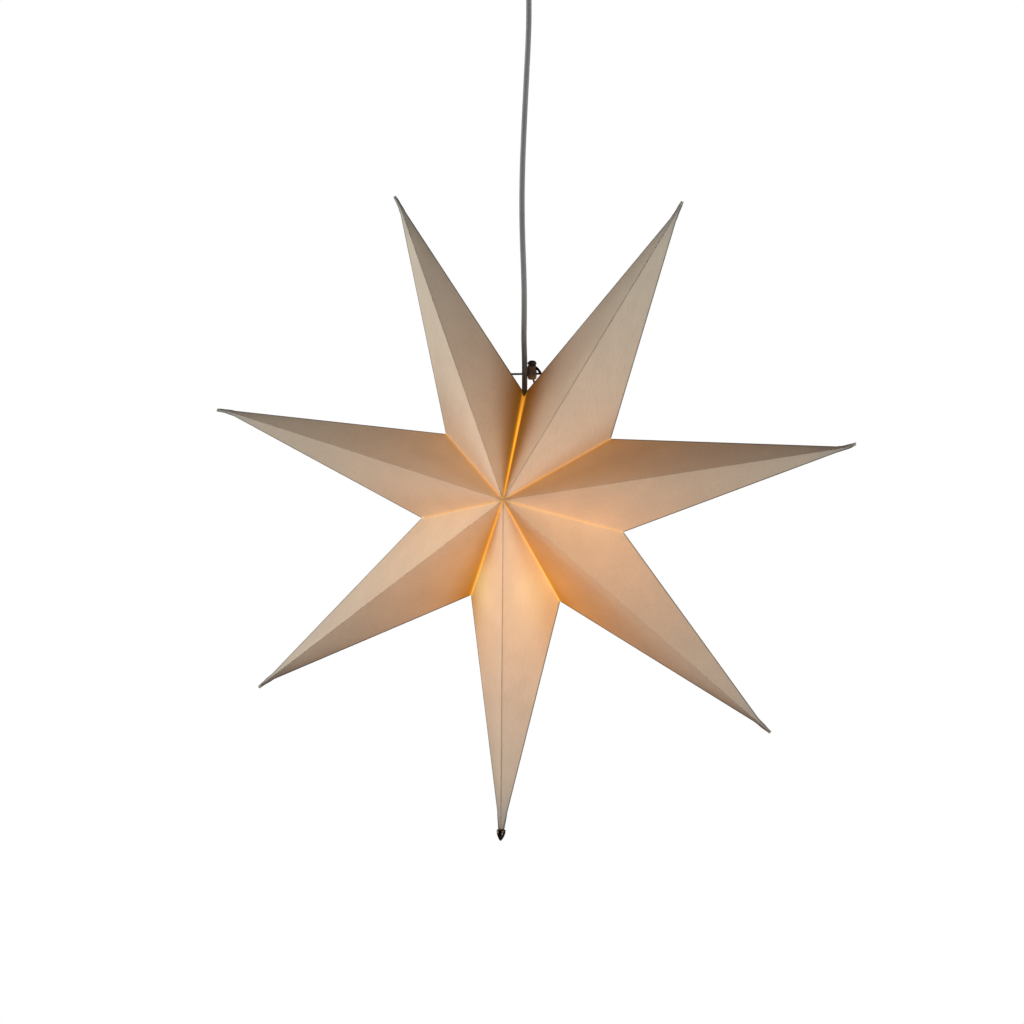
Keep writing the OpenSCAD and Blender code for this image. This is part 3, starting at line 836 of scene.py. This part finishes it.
def make_lampholder(skins):
    grip = [(0, 74), (4.7, 74), (5, 74.4), (5, 78.4), (4.6, 79.4), (4.3, 80.2)]
    for z in (81.2, 83.2, 85.2):
        r = 4.2 - (z - 81.2) * 0.1
        grip += [(r, z - 0.6), (r - 0.35, z - 0.2), (r - 0.35, z + 0.2), (r - 0.08, z + 0.6)]
    grip += [(3.6, 87.3), (3.3, 88), (2.6, 88)]
    hold(in_lamp("cord_grip_ribbed", grip), "lamp_set", "dark_plastic", skins["dark"], "cord_grip")
    cap = rounded([(5.1, 75), (5.1, 77), (7, 77), (14.4, 67.5), (14.4, 66.5)], 0.8)
    cap += climb(14.4, 66.4, 60.5, 0.5) + [(14.1, 60.1), (13.3, 60), (13.3, 66.6), (5.2, 74.8)]
    hold(in_lamp("holder_cap_fluted", cap, segments=216, closed=True,
                 shape=flutes(36, 0.35, 60.6, 66.6)),
         "lamp_set", "white_plastic", skins["white"], "holder_cap")
    body = [(9, 12), (13.4, 12), (13.85, 12.15), (14, 12.6)] + climb(14, 13, 34, 0.25)
    body += [(14, 35), (13.6, 35.3), (13.6, 36.2), (14, 36.5), (14, 57), (13.7, 57.3),
             (13.7, 58.2), (14, 58.5), (14, 59.5), (13.8, 59.9), (12.5, 59.9), (12.5, 13.5),
             (9, 13.5)]
    hold(in_lamp("holder_body_threaded", body, segments=96, closed=True,
                 shape=thread(2.5, 0.5, 13, 34)),
         "lamp_set", "white_plastic", skins["white"], "holder_body")
    sleeve = climb(7.95, 14, 38, 0.2) + [(7.05, 38), (7.05, 14)]
    hold(in_lamp("thread_sleeve_rolled", sleeve, segments=72, closed=True,
                 shape=thread(2.82, 0.4, 14.3, 37.7)),
         "lamp_set", "brass", skins["brass"], "thread_sleeve")
    for node, skin in (("contact_block", "ceramic"), ("centre_contact", "brass"),
                       ("side_contact", "brass"), ("holder_screws", "zinc")):
        finish_node(node, skins[skin])


def make_bulb(skins):
    cap = [(6.4, 15), (6.9, 15.05)] + climb(6.9, 15.2, 33.4, 0.2)
    cap += [(6.8, 33.8), (6.0, 34.9), (5.2, 35.8), (5, 36), (5, 35.4), (6, 33.6)]
    hold(in_lamp("bulb_cap_rolled", cap, segments=72, closed=True,
                 shape=thread(2.82, 0.45, 16, 33)),
         "bulb", "nickel_cap", skins["nickel"], "bulb_cap")
    hold(in_lamp("bulb_insulator_glass", rounded([(0, 36.05), (5, 36.05), (3, 38.6), (0, 38.6)],
                                                 0.4)),
         "bulb", "dark_plastic", skins["dark"], "bulb_insulator")
    hold(in_lamp("bulb_contact_button", [(0, 38.65), (2.6, 38.65), (2.55, 38.95), (2.2, 39.35),
                                         (1.4, 39.6), (0, 39.65)]),
         "bulb", "nickel_cap", skins["nickel"], "bulb_contact")
    r = 22.5
    globe = [(0, -14 - r)] + [(r * math.cos(math.radians(t)), -14 + r * math.sin(math.radians(t)))
                              for t in range(-86, 58, 4)]
    globe += [(11.1, 6.6), (9.9, 8.8), (8.9, 10.6), (7.9, 12), (6.9, 13.2), (6.1, 14.3),
              (5.8, 15.4), (5.8, 30), (5, 30)]
    hold(in_lamp("bulb_globe", globe, segments=96), "bulb", "frosted_glass", skins["frost"],
         "bulb_glass")
    stem = rounded([(0, 28), (4.4, 28), (4.4, 20), (2, 10), (1.6, -2), (0, -3)], 1.2)
    hold(in_lamp("bulb_stem_glass", stem, segments=32), "bulb", "clear_glass", skins["clear"],
         "bulb_stem")
    finish_node("bulb_filament", skins["filament"])


# ---------- tip cap, tie and cord lock ----------
def make_tip_cap(skins):
    way = ray(tip_angle(CAPPED))
    turn = Vector((0, 0, 1)).rotation_difference(way).to_matrix()
    profile = [(0, 0.35), (2.9, 0.3), (3.6, 0), (4.05, 0.15), (4.2, 0.6), (4.2, 1.1), (4.12, 1.3),
               (4.12, 1.7), (4.15, 1.9), (4.0, 3.2), (3.5, 5), (2.7, 7), (1.6, 9), (1.1, 9.7),
               (0.6, 10.2), (0, 10.4)]
    cap = lathe("tip_cap_bell", profile, STAR + way * (tip_end(CAPPED) + 0.4 * MM), segments=48,
                turn=turn)
    hold(cap, "shade_arm_4", "bronze", skins["bronze"], "tip_cap")


def twisted(name, path, radius, lay=3.2 * MM, plies=3):
    """A string laid up from a few plies, along a path of close points."""
    sides, travelled = 18, 0.0
    piece = tube(name, path, radius, sides)
    for k, centre in enumerate(path):
        if k:
            travelled += (centre - path[k - 1]).length
        for n in range(sides):
            vertex = piece.data.vertices[k * sides + n]
            a = 2 * math.pi * n / sides + 2 * math.pi * travelled / lay
            vertex.co = centre + (vertex.co - centre) * (1 + 0.16 * math.cos(plies * a))
    return piece


def knot(name, place, radius):
    """An overhand knot, pulled tight: a trefoil in a short thick string."""
    path = []
    for k in range(73):
        t = 2 * math.pi * k / 72
        path.append(place + Vector((0.35 * math.sin(3 * t), math.sin(t) + 1.3 * math.sin(2 * t),
                                    math.cos(t) - 1.3 * math.cos(2 * t))) * radius)
    return twisted(name, path, radius * 0.95, lay=2.6 * MM)


def make_tie(skins):
    """The string across the open notch. Its hidden end bends into the middle of the first arm."""
    route = [(-24, 0), (-12, 0), (0, 0), (12, 0), (24, -0.5), (33, -4), (41, -11.5), (50, -22.5)]
    path = smooth_path([STAR + Vector((x * MM, TIE_Y, TIE_Z + z * MM)) for x, z in route], 36)
    pieces = [twisted("tie_string_laid", path, 0.9 * MM), knot("tie_knot_left", path[0], 0.8 * MM),
              knot("tie_knot_right", path[-1], 0.8 * MM)]
    for piece in pieces:
        hold(piece, "shade_arm_1", "brown_string", skins["string"], "tie_string")


LOCK_X = 8.2 * MM        # the cord lock's axis, right of the star's centre


def make_cord_lock(skins):
    """The sprung cord lock on the string. Heights are above the star's centre."""
    place = STAR + Vector((LOCK_X, TIE_Y, 0))
    barrel = [(0, 112), (2.2, 112), (3.0, 112.25), (3.7, 112.9), (4.15, 113.7), (4.38, 114.6),
              (4.4, 115.4)] + climb(4.4, 115.8, 123, 0.3)
    barrel += [(4.4, 123.8), (4.3, 124.35), (4.1, 124.6), (3.9, 124.55), (3.8, 124.3), (3.8, 115)]
    hold(lathe("toggle_barrel_moulded", barrel, place, segments=96,
               shape=flutes(16, 0.3, 117.4, 122.8)),
         "toggle", "brown_plastic", skins["brown"], "toggle_barrel")
    plunger = [(0, 116.2), (3.65, 116.2), (3.65, 126.45), (4.1, 126.5), (4.3, 126.75), (4.28, 127.3),
               (3.95, 128.15), (3.3, 128.95), (2.3, 129.55), (1.2, 129.84), (0, 129.9)]
    hold(lathe("toggle_plunger_domed", plunger, place, segments=64),
         "plunger", "dark_plastic", skins["dark"], "toggle_plunger")
    for side, name in ((-1, "left"), (1, "right")):
        profile = [(0.95, -0.15), (1.5, -0.15), (1.65, 0.1), (1.5, 0.35), (0.95, 0.35)]
        ring = lathe(f"toggle_eyelet_{name}", profile,
                     place + Vector((side * 4.15 * MM, 0, TIE_Z)), segments=32,
                     turn=Matrix.Rotation(side * math.pi / 2, 3, "Y"), closed=True)
        hold(ring, "toggle", "brown_plastic", skins["brown"])
    turns = [8 * math.pi * k / 160 for k in range(161)]
    coil = [place + MM * Vector((2.2 * math.cos(t), 2.2 * math.sin(t), 114.5 + 0.058 * t))
            for t in turns]
    spring = tube("toggle_spring_coil", coil, 0.22 * MM, sides=8)
    hold(spring, "toggle", "zinc_steel", skins["zinc"], "toggle_spring")
    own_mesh(spring)
    tail = [(0.9, 1.2, 113.2), (1.2, 1.5, 111.4), (1.6, 2.1, 109.8), (2.4, 2.9, 108),
            (3, 3.5, 106.2)]
    strand = [(3.4, -0.4, 123.2), (4.6, -0.5, 122.6), (5.9, -0.4, 121.2), (7, -0.2, 119.6),
              (8.2, 0, 118.3)]
    for name, route, radius, nodes in (("string_tail_laid", tail, 0.85 * MM, ["string_tail"]),
                                       ("toggle_strand", strand, 1.15 * MM, [])):
        path = smooth_path([place + Vector(p) * MM for p in route], 10)
        hold(twisted(name, path, radius), "toggle", "brown_string", skins["string"], *nodes)


# ---------- the stage ----------
PANEL_SIZE = 0.9
PANEL_DISTANCE = 2.6     # from the star
PANELS = {       # degrees round from the star's front and up, watts
    "left_high": (-85, 35, 16), "left_low": (-85, -12, 25), "left_front": (-68, 12, 21),
    "right_low": (50, -35, 20), "right_front": (68, 12, 18), "right_side": (85, -12, 8),
    "back_left": (-150, 10, 16), "back_right": (150, 10, 16)}


def make_lights():
    for name, (round_by, up, power) in PANELS.items():
        a, e = math.radians(round_by), math.radians(up)
        way = Vector((math.sin(a) * math.cos(e), -math.cos(a) * math.cos(e), math.sin(e)))
        data = bpy.data.lights.new(name, "AREA")
        data.size = PANEL_SIZE
        data.energy = power
        light = link(name, data)
        light.location = STAR + way * PANEL_DISTANCE
        light.rotation_mode = "QUATERNION"
        light.rotation_quaternion = (-way).to_track_quat("-Z", "Y")


def make_world():
    """White where the camera looks straight at it, and a weak pale light on the object."""
    world = bpy.data.worlds.new("studio")
    bpy.context.scene.world = world
    world.use_nodes = True
    tree = world.node_tree
    seen = tree.nodes["Background"]
    seen.inputs["Color"].default_value = (1, 1, 1, 1)
    seen.inputs["Strength"].default_value = 1.0
    lit = tree.nodes.new("ShaderNodeBackground")
    lit.inputs["Color"].default_value = (0.95, 0.97, 1, 1)
    lit.inputs["Strength"].default_value = 0.01
    path = tree.nodes.new("ShaderNodeLightPath")
    mix = tree.nodes.new("ShaderNodeMixShader")
    tree.links.new(path.outputs["Is Camera Ray"], mix.inputs["Fac"])
    tree.links.new(lit.outputs[0], mix.inputs[1])
    tree.links.new(seen.outputs[0], mix.inputs[2])
    tree.links.new(mix.outputs[0], tree.nodes["World Output"].inputs["Surface"])


FLOOR_HALF = 6.0
FLOOR_BELOW = 1.5        # under the lowest tip


def make_floor():
    """A plain floor well below the star. It looks white, and bounces little light back."""
    m = Nodes("floor")
    m.set(base_color=(0.2, 0.2, 0.2), roughness=0.9, emission_color=(1, 1, 1),
          emission_strength=m.add("LightPath").outputs["Is Camera Ray"])
    half = FLOOR_HALF
    z = cad_box[0][2] - FLOOR_BELOW
    floor = mesh_piece("floor", [(-half, -half, z), (half, -half, z), (half, half, z),
                                 (-half, half, z)], [(0, 1, 2, 3)])
    floor.data.materials.append(m.material)


make_camera()
make_cord(cord_skin())
skins = {
    "white": plastic("white_plastic", (0.74, 0.73, 0.69), 0.36),
    "ceramic": plastic("white_ceramic", (0.8, 0.79, 0.74), 0.22, 400, 0.04),
    "dark": plastic("dark_plastic", (0.15, 0.13, 0.12), 0.4),
    "brown": lock_plastic(),
    "zinc": metal("zinc_steel", (0.55, 0.56, 0.57), 0.5, metallic=0.45, grain=0.02),
    "brass": metal("brass", (0.72, 0.53, 0.25), 0.28),
    "nickel": metal("nickel_cap", (0.66, 0.65, 0.61), 0.22),
    "bronze": metal("bronze", (0.09, 0.06, 0.045), 0.2),
    "frost": bulb_frost(),
    "clear": clear_glass(),
    "filament": glowing("filament", (1.0, 0.55, 0.18), 9),
    "cores": core_colours(),
    "string": string_skin(),
}
outside, inside = paper_outside(), paper_inside()
for number in range(1, ARMS + 1):
    make_arm(number, outside, inside)
make_gap_glow_sheet(gap_glow_material())
make_ceiling_fitting(skins)
make_lampholder(skins)
make_bulb(skins)
make_tip_cap(skins)
make_tie(skins)
make_cord_lock(skins)
make_lights()
make_world()
make_floor()
bpy.context.scene.view_settings.view_transform = "Standard"
